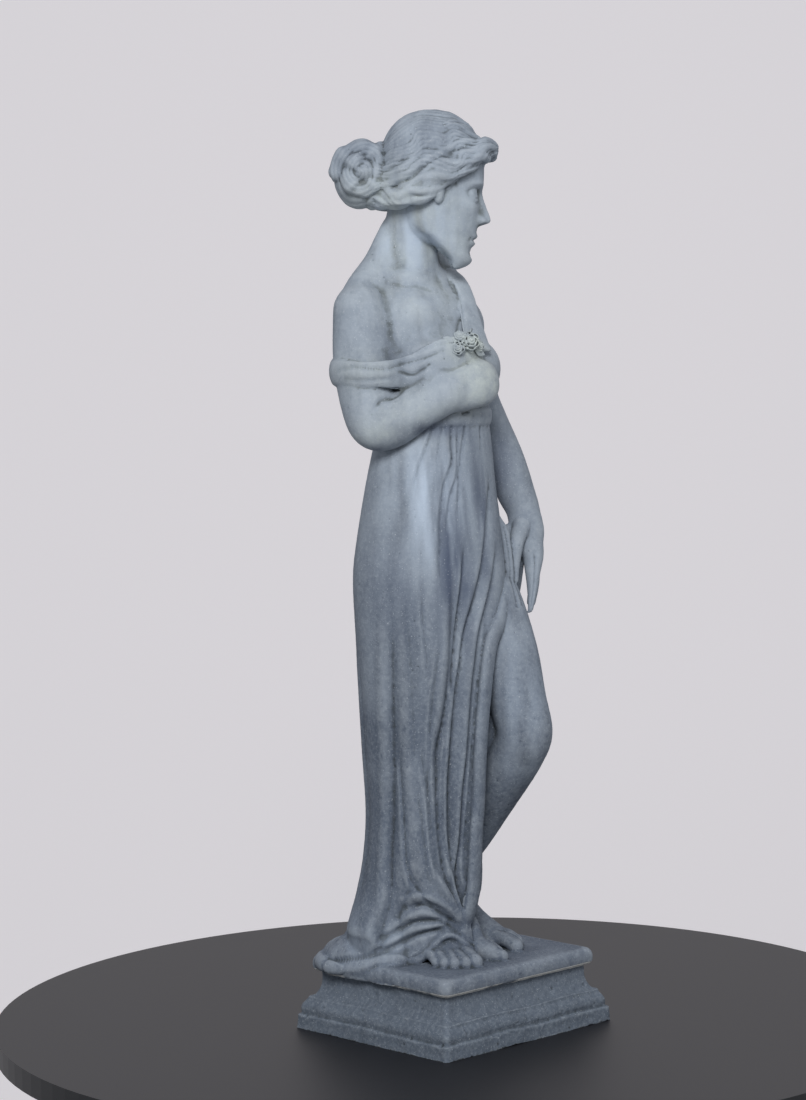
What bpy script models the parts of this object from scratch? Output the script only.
"""Garden statue of a standing woman: one cast figure with its own slab, on a moulded plinth.

World frame in metres, +Z up, the origin under the middle of the plinth. The woman faces -Y,
her left side is +X. The figure is a free form, so its pose and carving are written in
parts of its own height (750 units), measured up from the slab's top, and follow FIGURE_HEIGHT.
"""

import math

import bmesh
import bpy
import numpy as np
from mathutils import Matrix, Vector

# Plinth, in metres
PLINTH_LENGTH = 0.212
PLINTH_DEPTH = 0.193
PLINTH_HEIGHT = 0.052
PLINTH_CORNER = 0.004
BAND_HEIGHT = 0.0130
BAND_TAPER = 0.001
GROOVE_WIDTH = 0.0018
GROOVE_DEPTH = 0.0020
ROLL_HEIGHT = 0.0125
ROLL_INSET = 0.0030
ROLL_SLOPE = 0.0045
ROLL_BULGE = 0.0018
NECK_INSET = 0.0165
NECK_HEIGHT = 0.006

# Slab under the feet, in metres
SLAB_INSET = 0.0100
SLAB_THICKNESS = 0.0147
SLAB_CORNER = 0.005
SLAB_EDGE = 0.0045
JOINT_GAP = 0.0003

# Figure, in metres from the slab's top to the crown
FIGURE_HEIGHT = 0.753
MODEL_HEIGHT = 750.0
FIGURE_FORWARD = 0.0025

# Mesh fineness of the figure, in the figure's own units
BODY_VOXEL = 2.6
CLOTH_VOXEL = 2.2
FIGURE_TRIANGLES = 9000
LOFT_STEP = 3.0
LOFT_TURN = 1.5

# Trunk and skirt: height, centre x, centre y, half width, half depth
TRUNK = (
    (-8, -33, 30, 58, 38), (0, -33, 30, 60, 38), (10, -31, 27, 62, 42), (20, -28, 24, 66, 50),
    (30, -27, 24, 68, 52), (60, -23, 18, 62, 57), (90, -21, 16, 58, 55), (130, -20, 15, 56, 54),
    (185, -19, 15, 60, 56), (235, -17, 14, 66, 58), (280, -14, 13, 72, 60), (334, -11, 14, 76, 60),
    (369, -11, 13, 73, 56), (414, -11, 11, 66, 50), (448, -10, 9, 60, 46), (475, -8, 8, 55, 42),
    (500, -7, 12, 57, 44), (525, -7, 16, 62, 44), (550, -8, 22, 68, 42), (570, -9, 28, 70, 36),
    (585, -10, 32, 60, 31), (600, -10, 34, 42, 27), (612, -11, 34, 30, 25),
)
SKIRT_TOP = 480

# Skirt folds: width in degrees, depth, then heights with the angle from the front,
# positive towards her left
FOLDS = (
    (6.5, 7.0, ((20, -66), (57, -72), (88, -77), (130, -78), (180, -74), (230, -72), (320, -66))),
    (5.0, 2.4, ((88, -41), (130, -47), (185, -52), (230, -53), (325, -56))),
    (3.0, 2.8, ((28, -18), (40, -32), (57, -45), (88, -59), (130, -65), (175, -67))),
    (4.0, 5.0, ((30, -5), (57, -19), (88, -31), (130, -38), (165, -44))),
    (4.5, 7.5, ((35, -8), (55, -16), (88, -25), (130, -31), (185, -32), (212, -27), (243, -23),
                (300, -22))),
    (3.2, 6.5, ((232, -19), (276, -18), (345, -11))),
    (4.2, 7.0, ((40, -5), (88, -15), (115, -19), (151, -20), (189, -18), (226, -15), (258, -12),
                (292, -9), (326, 0), (356, 9), (405, 25))),
    (4.0, 8.0, ((20, 0), (44, -4), (79, -8), (115, -6), (151, -4), (189, 0), (258, 2), (292, 5),
                (326, 15), (350, 24))),
    (6.0, 4.5, ((20, -100), (120, -103), (300, -98))),
    (7.0, 5.5, ((10, -124), (140, -127), (340, -121))),
    (6.0, 4.5, ((20, -146), (150, -150), (330, -148))),
    (7.0, 6.0, ((10, -172), (160, -173), (350, -168))),
    (6.5, 5.0, ((20, 160), (140, 163), (340, 168))),
    (7.0, 5.5, ((10, 136), (150, 141), (330, 146))),
    (5.5, 4.5, ((20, 114), (150, 121), (310, 126))),
)
FOLD_FADE = 22
FOLD_LIP = 0.22
FOLD_LIP_PLACE = 2.3
SLIT = ((0, 16), (54, 20), (115, 26), (185, 25), (275, 24), (300, 34), (318, 56))
SLIT_BACK = 100
SLIT_RECESS = 13
SLIT_EDGE = 5
SLIT_FADE = 12
GATHER_START = 395
GATHER_RISE = 60
GATHER_DEPTH = 1.7
GATHER_RATE = 27

# Limbs and other round masses: x, y, z, radius
RIGHT_ARM = ((-73, 32, 566, 25), (-80, 26, 530, 24), (-84, 15, 494, 23), (-82, 7, 474, 22),
             (-72, -4, 476, 22), (-56, -18, 488, 20), (-34, -34, 501, 18))
RIGHT_TRAPEZIUS = ((-20, 38, 644, 16), (-41, 39, 614, 19), (-62, 38, 591, 20), (-72, 34, 574, 22))
LEFT_TRAPEZIUS = ((-8, 38, 640, 14), (18, 40, 608, 17), (42, 40, 582, 18), (54, 38, 566, 20))
LEFT_ARM = ((56, 37, 554, 23), (62, 30, 520, 20), (67, 22, 495, 18), (72, 14, 470, 17),
            (78, 2, 438, 16), (84, -10, 405, 15.5), (85, -18, 375, 15), (82, -24, 356, 14))
LEFT_LEG = ((31, 8, 348, 26), (36, -8, 318, 31), (40, -28, 268, 30), (41, -42, 225, 26.5),
            (42, -50, 198, 25), (43, -41, 180, 24.5), (43, -28, 164, 25), (43, -3, 133, 24),
            (42, 18, 102, 21), (41, 34, 77, 17), (40, 46, 57, 14), (40, 54, 50, 12))
NECK = ((-12, 34, 600, 27), (-13, 31, 622, 25), (-14, 28, 640, 24), (-16, 22, 662, 23))
INNER_DRAPE = ((30, -4, 300, 17), (36, -6, 240, 18), (38, -4, 195, 17), (33, 10, 133, 15),
               (27, 24, 60, 13), (24, 30, 10, 13))
HAND_GATHER = ((48, -16, 357, 11), (56, -24, 345, 13), (60, -27, 325, 13), (56, -22, 296, 13))
BACK_DRAPE = ((64, 0, 338, 12, 8), (58, 26, 280, 19, 8), (46, 44, 190, 23, 9),
              (38, 52, 100, 25, 10), (34, 58, 30, 27, 11), (34, 59, 0, 28, 12))

# Feet: x, y, z, half width, half height
RIGHT_FOOT = ((8, 34, 14, 14, 14), (-8, 11, 19, 15, 18), (-21, -8, 16, 18, 16),
              (-33, -27, 9, 22, 10), (-40, -38, 6, 20, 6))
RIGHT_TOES = (((-18, -41), (-29, -61), 7.2), ((-34, -38), (-44, -55), 5.8),
              ((-43, -32), (-53, -47), 5.4), ((-48, -25), (-57, -38), 5.2),
              ((-51, -17), (-59, -27), 5.0))
LEFT_FOOT = ((40, 62, 46, 11, 12), (41, 42, 37, 12, 15), (42, 20, 21, 14, 12),
             (44, 0, 11, 17, 9.5), (45, -14, 6, 18, 7), (46, -24, 4, 16, 5))
LEFT_TOES = (((36, -18), (35, -42), 6.4), ((43, -20), (43, -43), 4.8), ((49, -20), (50, -40), 4.5),
             ((55, -18), (56, -36), 4.2), ((60, -14), (61, -30), 4.0))
TOE_HEIGHT = 5.0

# Hands: x, y, z, half width, half thickness, or x, y, z, radius for a finger
RIGHT_HAND = ((-36, -33, 500, 18, 15), (-20, -42, 505, 21, 14), (-4, -46, 511, 24, 14),
              (9, -43, 515, 21, 13), (16, -36, 518, 16, 11))
LEFT_PALM = ((83, -22, 368, 14, 12), (80, -26, 354, 17, 11), (77, -29, 340, 18, 10),
             (74, -31, 328, 16, 9))
LEFT_FINGERS = (((66, -28, 356, 7), (57, -33, 336, 6.5), (49, -33, 316, 5.5)),
                ((70, -32, 340, 7), (67, -37, 322, 6.5), (62, -34, 300, 5.5)),
                ((77, -30, 340, 7), (75, -34, 322, 6.5), (69, -31, 298, 5.5)),
                ((82, -25, 342, 6.5), (82, -27, 324, 6), (77, -24, 302, 5)))

# Cloth bands and rolls: x, y, z, half width, half thickness
SLEEVE_BAND = ((42, 46, 530, 12, 5), (12, 58, 528, 12, 5), (-24, 59, 526, 12, 5),
               (-52, 54, 523, 12, 5), (-74, 52, 521, 12, 5), (-92, 46, 520, 12, 5.5),
               (-103, 27, 519, 12, 5.5), (-101, 6, 518, 12, 5.5), (-88, -8, 518, 12, 5.5),
               (-70, -12, 518, 14, 5), (-55, -24, 521, 17, 5), (-42, -33, 527, 19, 5),
               (-28, -37, 534, 17, 5))
STRAP = ((0, -35, 543, 13, 3.5), (13, -24, 562, 13, 3.5), (18, -7, 586, 13, 3.5),
         (19, 12, 604, 13, 3.5), (20, 34, 611, 13, 4), (23, 52, 594, 13, 4), (22, 60, 560, 13, 4),
         (17, 57, 520, 13, 4), (14, 50, 488, 12, 4))
STRIP = ((326, 42), (300, 27), (275, 14), (223, 13), (185, 13), (138, 13), (115, 10), (54, 7),
         (22, 6))
STRIP_HALF_WIDTH = 9
HEM_UPPER = ((-56, 84, 3, 9, 9), (-78, 74, 3, 9, 9), (-89, 52, 4, 8, 8), (-87, 28, 7, 7, 7),
             (-78, 10, 10, 6, 6), (-66, 1, 14, 6.5, 6.5), (-52, -3, 21, 6.5, 6.5),
             (-41, -8, 28, 6.5, 6.5), (-31, -15, 31, 6, 6), (-26, -25, 28, 5.5, 5.5),
             (-19, -31, 17, 5, 5), (-10, -29, 10, 5, 5))
HEM_LOWER = ((-84, 60, -2, 8, 8), (-92, 40, -2, 8, 8), (-90, 20, 0, 6, 6), (-80, 5, 2, 5.5, 5.5),
             (-68, -3, 6, 5.5, 5.5), (-57, -9, 12, 5.5, 5.5), (-48, -16, 19, 5, 5),
             (-38, -22, 24, 5, 5), (-30, -28, 22, 4.6, 4.6), (-23, -33, 13, 4.4, 4.4),
             (-15, -34, 7, 5, 5))
HEAP = (((0, -18, 26, 9), (-4, -28, 14, 9.5), (-7, -40, 9, 9), (-6, -52, 6, 8), (-1, -60, 4, 5.5)),
        ((8, -22, 10, 6), (8, -36, 7, 6), (6, -48, 5, 5)))
CORNER_LUMPS = (((-80, 74, -2), (20, 18, 10)), ((-91, 54, -5), (10, 20, 9)),
                ((-62, 80, 0), (20, 12, 9)))
BREASTS = (((-38, -13, 526), (26, 25, 25)), ((21, -13, 526), (25, 25, 25)))
CHEST = (((20, 4, 564), (30, 25, 30)), ((-36, 8, 566), (30, 22, 30)), ((8, 20, 592), (27, 19, 22)),
         ((-30, 20, 592), (27, 19, 22)), ((-10, 38, 578), (52, 26, 48)))
BUTTOCKS = (((-34, 38, 354), (31, 33, 44)), ((12, 38, 356), (31, 33, 44)))
ROSES = (((-18, -43, 544), (9, 8, 9)), ((-30, -40, 538), (7, 6, 6)), ((-5, -44, 540), (8, 7, 6)))
BELT_HEIGHT = 479
BELT_RADIUS = 5

# Head: its centre, the turn to her left and the bow, in degrees
HEAD_CENTRE = (-4, 2, 677)
HEAD_TURN = 44.3
HEAD_BOW = 8

# Head masses in the head's own frame: forward, left, up from the eye line
HEAD_BALLS = (
    ((-8, 0, 14), (43, 36, 44)), ((10, 0, 20), (28, 30, 25)), ((8, 0, -18), (28, 29, 42)),
    ((13, 0, -44), (22, 21, 18)), ((27, 0, -55), (9, 11, 8)), ((19, 16, -17), (15, 13, 14)),
    ((19, -16, -17), (15, 13, 14)), ((24, 14, 0), (10, 10, 9)), ((24, -14, 0), (10, 10, 9)),
    ((32, 0, -40), (6, 11, 8)), ((36, 5, -26), (5, 4, 4)), ((36, -5, -26), (5, 4, 4)),
    ((-3, 0, 20), (46, 41, 53)), ((-22, 0, 26), (33, 38, 43)),
)
NOSE = ((33, 0, 6, 4), (37, 0, -6, 4), (41, 0, -17, 4.6), (42, 0, -24, 5))
LIPS = (((35, 9, -39, 2), (38, 4, -37.5, 2.8), (38.5, 0, -38, 2.8), (38, -4, -37.5, 2.8),
         (35, -9, -39, 2)),
        ((34, 8, -41, 2), (37, 3.5, -43, 3.2), (37, -3.5, -43, 3.2), (34, -8, -41, 2)))
BROW = ((31, 3, 8, 3.6), (33, 8, 11, 4), (30, 15, 11.5, 4), (23, 22, 8, 3.6))
HAIR_ROLL = ((40, 0, 41, 9), (35, 13, 41, 9.5), (28, 25, 34, 10), (17, 33, 23, 10),
             (4, 37, 14, 9.5), (-9, 38, 5, 9), (-21, 34, -8, 9), (-33, 27, -15, 9),
             (-47, 14, -12, 9), (-58, 0, -6, 9))
BUN_CENTRE = (-72, 0, 5)
BUN_RADII = (25, 26, 32)
BUN_COIL = 19
BUN_LOCK = 9
EAR = (-7, 36, -3)

# Colours of the weathered cast stone
STONE_COLOUR = (0.190, 0.225, 0.250, 1.0)
PLINTH_COLOUR = (0.160, 0.190, 0.215, 1.0)


def clear_scene():
    for existing in list(bpy.data.objects):
        bpy.data.objects.remove(existing, do_unlink=True)


def stone_material(name, colour):
    material = bpy.data.materials.new(name)
    material.use_nodes = True
    shader = material.node_tree.nodes["Principled BSDF"]
    shader.inputs["Base Color"].default_value = colour
    shader.inputs["Roughness"].default_value = 0.9
    shader.inputs["Metallic"].default_value = 0.0
    return material


def smooth_step(value):
    value = np.clip(value, 0.0, 1.0)
    return value * value * (3.0 - 2.0 * value)


def spline(rows, count):
    """Rows on a smooth curve (Catmull-Rom) through the given rows."""
    rows = np.array(rows, dtype=float)
    padded = np.vstack((2 * rows[0] - rows[1], rows, 2 * rows[-1] - rows[-2]))
    places = np.linspace(0.0, len(rows) - 1 - 1e-9, count)
    index = places.astype(int)
    part = (places - index)[:, None]
    before, start, end, after = (padded[index + offset] for offset in range(4))
    return 0.5 * (2 * start + (end - before) * part
                  + (2 * before - 5 * start + 4 * end - after) * part ** 2
                  + (3 * start - before - 3 * end + after) * part ** 3)


def add_rings(bm, rings):
    """Closed body through rings with the same number of points, with a face on each end."""
    layers = [[bm.verts.new(point) for point in ring] for ring in rings]
    size = len(layers[0])
    for lower, upper in zip(layers, layers[1:]):
        for index in range(size):
            after = (index + 1) % size
            bm.faces.new((lower[index], lower[after], upper[after], upper[index]))
    bm.faces.new(list(reversed(layers[0])))
    bm.faces.new(layers[-1])


def add_tube(bm, rows, across=(0, 0, 1), sides=18, steps=5):
    """Round-ended tube through rows of x, y, z, half width along across, half thickness."""
    rows = np.array(rows, dtype=float)
    if rows.shape[1] == 4:
        rows = np.column_stack((rows, rows[:, 3]))
    line = spline(rows, steps * (len(rows) - 1) + 1)
    tangents = np.gradient(line[:, :3], axis=0)
    tangents /= np.linalg.norm(tangents, axis=1)[:, None]
    stations = []
    for angle in (80, 55, 28):
        reach, size = math.sin(math.radians(angle)), math.cos(math.radians(angle))
        centre = line[0, :3] - tangents[0] * line[0, 4] * reach
        stations.append((centre, tangents[0], line[0, 3:] * size))
    stations += [(row[:3], tangent, row[3:]) for row, tangent in zip(line, tangents)]
    for angle in (28, 55, 80):
        reach, size = math.sin(math.radians(angle)), math.cos(math.radians(angle))
        centre = line[-1, :3] + tangents[-1] * line[-1, 4] * reach
        stations.append((centre, tangents[-1], line[-1, 3:] * size))
    turns = np.linspace(0, 2 * math.pi, sides, endpoint=False)
    wide_way = Vector(across)
    rings = []
    for centre, tangent, (wide, thin) in stations:
        axis = Vector(tangent)
        wide_way = (wide_way - axis * wide_way.dot(axis)).normalized()
        thin_way = axis.cross(wide_way)
        rings.append([Vector(centre) + wide_way * (wide * math.cos(turn))
                      + thin_way * (thin * math.sin(turn)) for turn in turns])
    add_rings(bm, rings)


def add_ball(bm, centre, radii, frame=Matrix()):
    matrix = frame @ Matrix.Translation(centre) @ Matrix.Diagonal((*radii, 1.0))
    bmesh.ops.create_icosphere(bm, subdivisions=4, radius=1.0, matrix=matrix)


def trunk_section(heights):
    """Centre and half sizes of the trunk at the given heights."""
    table = np.array(TRUNK, dtype=float)
    dense = spline(table, 24 * (len(table) - 1) + 1)
    return [np.interp(heights, dense[:, 0], dense[:, column]) for column in range(1, 5)]


def skirt_point(height, angle, lift=0.0):
    """Point on the plain skirt at an angle from the front, positive towards her left."""
    centre_x, centre_y, half_width, half_depth = trunk_section(height)
    turn = math.radians(angle)
    return (centre_x + (half_width + lift) * math.sin(turn),
            centre_y - (half_depth + lift) * math.cos(turn), height)


def fold_depths(heights, angles):
    """How far the cloth lies inside or outside the plain skirt."""
    depths = np.zeros_like(angles)
    for width, depth, path in FOLDS:
        path = np.array(path, dtype=float)
        middle = np.interp(heights, path[:, 0], path[:, 1])
        away = (angles - middle + 180) % 360 - 180
        fade = smooth_step((heights - path[0, 0]) / FOLD_FADE)
        fade *= smooth_step((path[-1, 0] + FOLD_FADE - heights) / FOLD_FADE)
        depths -= depth * fade * np.exp(-(away / width) ** 2)
        lip = (np.abs(away) - FOLD_LIP_PLACE * width) / width
        depths += FOLD_LIP * depth * fade * np.exp(-lip ** 2)
    edge = np.array(SLIT, dtype=float)
    slit = np.interp(heights, edge[:, 0], edge[:, 1])
    opened = smooth_step((angles - slit) / SLIT_EDGE)
    opened *= smooth_step((SLIT_BACK - angles) / SLIT_FADE)
    opened *= smooth_step((edge[-1, 0] - heights) / SLIT_FADE)
    depths -= SLIT_RECESS * opened
    gathers = smooth_step((heights - GATHER_START) / GATHER_RISE)
    gathers *= smooth_step((SKIRT_TOP - heights) / BELT_RADIUS)
    depths -= GATHER_DEPTH * gathers * np.abs(np.sin(np.radians(angles * GATHER_RATE)))
    return depths


def add_trunk(bm):
    """Skirt with its folds and the body above it, in one loft."""
    heights = np.arange(TRUNK[0][0], TRUNK[-1][0] + 1, LOFT_STEP)
    angles = np.arange(-180, 180, LOFT_TURN)
    rings = []
    for height in heights:
        centre_x, centre_y, half_width, half_depth = trunk_section(height)
        push = fold_depths(np.full_like(angles, height), angles)
        if height > SKIRT_TOP:
            push = np.zeros_like(angles)
        turn = np.radians(angles)
        rings.append([Vector((x, y, height)) for x, y in zip(
            centre_x + (half_width + push) * np.sin(turn),
            centre_y - (half_depth + push) * np.cos(turn))])
    add_rings(bm, rings)


def head_frame():
    """From forward, left, up on the eye line to the figure's frame."""
    turn = Matrix.Rotation(math.radians(HEAD_TURN - 90), 4, "Z")
    bow = Matrix.Rotation(math.radians(HEAD_BOW), 4, "Y")
    return Matrix.Translation(HEAD_CENTRE) @ turn @ bow


def in_head(rows):
    """Rows of forward, left, up and radius as rows in the figure's frame."""
    frame = head_frame()
    return [(*(frame @ Vector(row[:3])), row[3]) for row in rows]


def mirrored(rows):
    return [(row[0], -row[1], *row[2:]) for row in rows]


def add_head(bm):
    frame = head_frame()
    for centre, radii in HEAD_BALLS:
        add_ball(bm, centre, radii, frame)
    add_tube(bm, in_head(NOSE), sides=10)
    for rows in (BROW, mirrored(BROW)):
        add_tube(bm, in_head(rows), sides=10)


def add_hair(bm):
    """Roll of hair swept back from the face, coiled bun, ears and lips."""
    frame = head_frame()
    for rows in (HAIR_ROLL, mirrored(HAIR_ROLL)):
        add_tube(bm, in_head(rows))
    for rows in LIPS:
        add_tube(bm, in_head(rows), sides=10)
    for side in (1, -1):
        add_ball(bm, (EAR[0], side * EAR[1], EAR[2]), (4, 4, 8), frame)
    turns = np.radians(np.arange(0, 361, 30))
    coil = [(BUN_CENTRE[0] + 4 * math.sin(2 * turn), BUN_COIL * math.sin(turn),
             BUN_CENTRE[2] + 1.3 * BUN_COIL * math.cos(turn), BUN_LOCK) for turn in turns]
    add_tube(bm, in_head(coil))
    add_ball(bm, BUN_CENTRE, BUN_RADII, frame)


def toe_rows(root, tip, radius):
    middle = ((root[0] + tip[0]) / 2, (root[1] + tip[1]) / 2)
    return ((*root, TOE_HEIGHT + 2, radius), (*middle, TOE_HEIGHT + 2, radius * 0.9),
            (*tip, TOE_HEIGHT - 1, radius * 0.85))


def add_body(bm):
    """Everything that is soft and round: neck, shoulders, limbs, bust and head."""
    for rows in (NECK, RIGHT_TRAPEZIUS, LEFT_TRAPEZIUS, RIGHT_ARM, LEFT_ARM, LEFT_LEG):
        add_tube(bm, rows, across=(1, 0, 0), sides=24)
    for centre, radii in BREASTS + CHEST + BUTTOCKS:
        add_ball(bm, centre, radii)
    add_tube(bm, RIGHT_FOOT, across=(0.81, -0.59, 0))
    add_tube(bm, LEFT_FOOT, across=(1, 0, 0))
    add_tube(bm, RIGHT_HAND, across=(0, 0, 1))
    add_tube(bm, LEFT_PALM, across=(0.8, 0.6, 0))
    add_head(bm)


def add_details(bm):
    """Cloth, hands, toes and hair, blended less than the body."""
    add_trunk(bm)
    add_tube(bm, SLEEVE_BAND, across=(0, 0, 1))
    add_tube(bm, STRAP, across=(1, 0, 0))
    for rows in (HEM_UPPER, HEM_LOWER):
        add_tube(bm, rows, sides=14)
    strip = [(*skirt_point(height, angle, 1.0), STRIP_HALF_WIDTH, 5) for height, angle in STRIP]
    add_tube(bm, strip, across=(0.9, 0.4, 0))
    add_tube(bm, BACK_DRAPE, across=(0.92, 0.38, 0), sides=28)
    for rows in (INNER_DRAPE, HAND_GATHER):
        add_tube(bm, rows)
    for rows in HEAP + LEFT_FINGERS:
        add_tube(bm, rows, sides=12)
    for root, tip, radius in RIGHT_TOES + LEFT_TOES:
        add_tube(bm, toe_rows(root, tip, radius), sides=12)
    for centre, radii in CORNER_LUMPS + ROSES:
        add_ball(bm, centre, radii)
    belt = [(*skirt_point(BELT_HEIGHT, angle, 1.0), BELT_RADIUS + 1, BELT_RADIUS - 1)
            for angle in range(0, 361, 20)]
    add_tube(bm, belt)
    add_hair(bm)


def evaluated_mesh(mesh, name, modifier_type, **settings):
    """The mesh after one modifier."""
    holder = bpy.data.objects.new(name, mesh)
    bpy.context.collection.objects.link(holder)
    modifier = holder.modifiers.new(name, modifier_type)
    for key, value in settings.items():
        setattr(modifier, key, value)
    graph = bpy.context.evaluated_depsgraph_get()
    result = bpy.data.meshes.new_from_object(holder.evaluated_get(graph))
    bpy.data.objects.remove(holder, do_unlink=True)
    return result


def relax(mesh, rounds, amount=0.5):
    """Evens out the surface by moving each vertex towards its neighbours."""
    count = len(mesh.vertices)
    points = np.empty(count * 3)
    mesh.vertices.foreach_get("co", points)
    points = points.reshape(-1, 3)
    edges = np.empty(len(mesh.edges) * 2, dtype=np.int64)
    mesh.edges.foreach_get("vertices", edges)
    first, second = edges.reshape(-1, 2).T
    links = np.bincount(np.concatenate((first, second)), minlength=count)
    for _ in range(rounds):
        total = np.zeros_like(points)
        for axis in range(3):
            total[:, axis] = np.bincount(first, points[second, axis], count)
            total[:, axis] += np.bincount(second, points[first, axis], count)
        points += amount * (total / links[:, None] - points)
    mesh.vertices.foreach_set("co", points.ravel())
    mesh.update()


def keep_largest_body(bm):
    """Drops any small closed shell that the blending left inside."""
    bm.verts.ensure_lookup_table()
    unseen = set(bm.verts)
    shells = []
    while unseen:
        shell = {unseen.pop()}
        edge = list(shell)
        while edge:
            vertex = edge.pop()
            for link in vertex.link_edges:
                other = link.other_vert(vertex)
                if other in unseen:
                    unseen.discard(other)
                    shell.add(other)
                    edge.append(other)
        shells.append(shell)
    shells.sort(key=len)
    for shell in shells[:-1]:
        bmesh.ops.delete(bm, geom=list(shell), context="VERTS")


def carved_figure():
    """The woman without her slab, in the figure's own units."""
    bm = bmesh.new()
    add_body(bm)
    body = bpy.data.meshes.new("body")
    bm.to_mesh(body)
    body = evaluated_mesh(body, "blend", "REMESH", mode="VOXEL", voxel_size=BODY_VOXEL)
    relax(body, 5)
    bm.clear()
    bm.from_mesh(body)
    add_details(bm)
    whole = bpy.data.meshes.new("whole")
    bm.to_mesh(whole)
    whole = evaluated_mesh(whole, "join", "REMESH", mode="VOXEL", voxel_size=CLOTH_VOXEL)
    relax(whole, 2)
    ratio = FIGURE_TRIANGLES / (2 * len(whole.polygons))
    whole = evaluated_mesh(whole, "simplify", "DECIMATE", ratio=ratio, use_collapse_triangulate=True)
    bm.clear()
    bm.from_mesh(whole)
    keep_largest_body(bm)
    return bm


def rounded_rectangle(half_length, half_depth, radius, height, segments=3):
    """One ring of points, anticlockwise seen from above."""
    points = []
    for corner, (side_x, side_y) in enumerate(((1, 1), (-1, 1), (-1, -1), (1, -1))):
        for step in range(segments + 1):
            angle = math.radians(90 * (corner + step / segments))
            points.append(Vector((side_x * (half_length - radius) + radius * math.cos(angle),
                                  side_y * (half_depth - radius) + radius * math.sin(angle),
                                  height)))
    return points


def add_moulding(bm, profile, length, depth, corner):
    """Stacks rounded rectangles by their inset from the outer size and their height."""
    rings = [rounded_rectangle(length / 2 - inset, depth / 2 - inset, corner, height)
             for inset, height in profile]
    add_rings(bm, rings)


def plinth_profile():
    """Band, groove, roll, groove, then a hollow up to the neck: inset and height."""
    profile = [(0.0, 0.0), (BAND_TAPER, BAND_HEIGHT)]
    profile.append((ROLL_INSET + GROOVE_DEPTH, BAND_HEIGHT + GROOVE_WIDTH / 2))
    roll_bottom = BAND_HEIGHT + GROOVE_WIDTH
    for step in range(6):
        share = step / 5
        inset = ROLL_INSET + ROLL_SLOPE * share - ROLL_BULGE * math.sin(math.pi * share)
        profile.append((inset, roll_bottom + ROLL_HEIGHT * share))
    hollow_inset = ROLL_INSET + ROLL_SLOPE
    hollow_bottom = roll_bottom + ROLL_HEIGHT + GROOVE_WIDTH
    profile.append((hollow_inset + GROOVE_DEPTH, hollow_bottom - GROOVE_WIDTH / 2))
    hollow_top = PLINTH_HEIGHT - NECK_HEIGHT
    for step in range(8):
        turn = 0.5 * math.pi * step / 7
        profile.append((hollow_inset + (NECK_INSET - hollow_inset) * math.sin(turn),
                        hollow_bottom + (hollow_top - hollow_bottom) * (1 - math.cos(turn))))
    profile.append((NECK_INSET, PLINTH_HEIGHT))
    return profile


def slab_profile():
    """Flat slab with worn edges: inset from its own outer size, and height."""
    bottom = PLINTH_HEIGHT + JOINT_GAP
    top = slab_top()
    profile = [(SLAB_EDGE * 0.4, bottom), (0.0, bottom + SLAB_EDGE * 0.6)]
    for step in range(4):
        turn = 0.5 * math.pi * step / 3
        profile.append((SLAB_EDGE * (1 - math.cos(turn)), top - SLAB_EDGE * (1 - math.sin(turn))))
    return profile


def slab_top():
    return PLINTH_HEIGHT + JOINT_GAP + SLAB_THICKNESS


def finished_object(bm, name, material):
    """Object from a closed body, with smooth shading between sharp edges."""
    bmesh.ops.recalc_face_normals(bm, faces=bm.faces)
    mesh = bpy.data.meshes.new(name)
    bm.to_mesh(mesh)
    bm.free()
    mesh.materials.append(material)
    mesh.shade_smooth()
    mesh.set_sharp_from_angle(angle=math.radians(50))
    result = bpy.data.objects.new(name, mesh)
    bpy.context.collection.objects.link(result)
    return result


def build_plinth():
    bm = bmesh.new()
    add_moulding(bm, plinth_profile(), PLINTH_LENGTH, PLINTH_DEPTH, PLINTH_CORNER)
    return finished_object(bm, "plinth", stone_material("plinth_stone", PLINTH_COLOUR))


def build_slab_block(material):
    """Slab that the figure is joined to, kept as a guide."""
    bm = bmesh.new()
    add_moulding(bm, slab_profile(), PLINTH_LENGTH - 2 * SLAB_INSET,
                 PLINTH_DEPTH - 2 * SLAB_INSET, SLAB_CORNER)
    block = finished_object(bm, "slab_block", material)
    block.hide_render = True
    block.display_type = "WIRE"
    return block


def build_figure():
    stone = stone_material("figure_stone", STONE_COLOUR)
    scale = FIGURE_HEIGHT / MODEL_HEIGHT
    bm = carved_figure()
    bm.transform(Matrix.Translation((0, -FIGURE_FORWARD, slab_top())) @ Matrix.Scale(scale, 4))
    figure = finished_object(bm, "figure", stone)
    joined = figure.modifiers.new("slab", "BOOLEAN")
    joined.operation = "UNION"
    joined.solver = "EXACT"
    joined.object = build_slab_block(stone)
    return figure


clear_scene()
build_plinth()
build_figure()
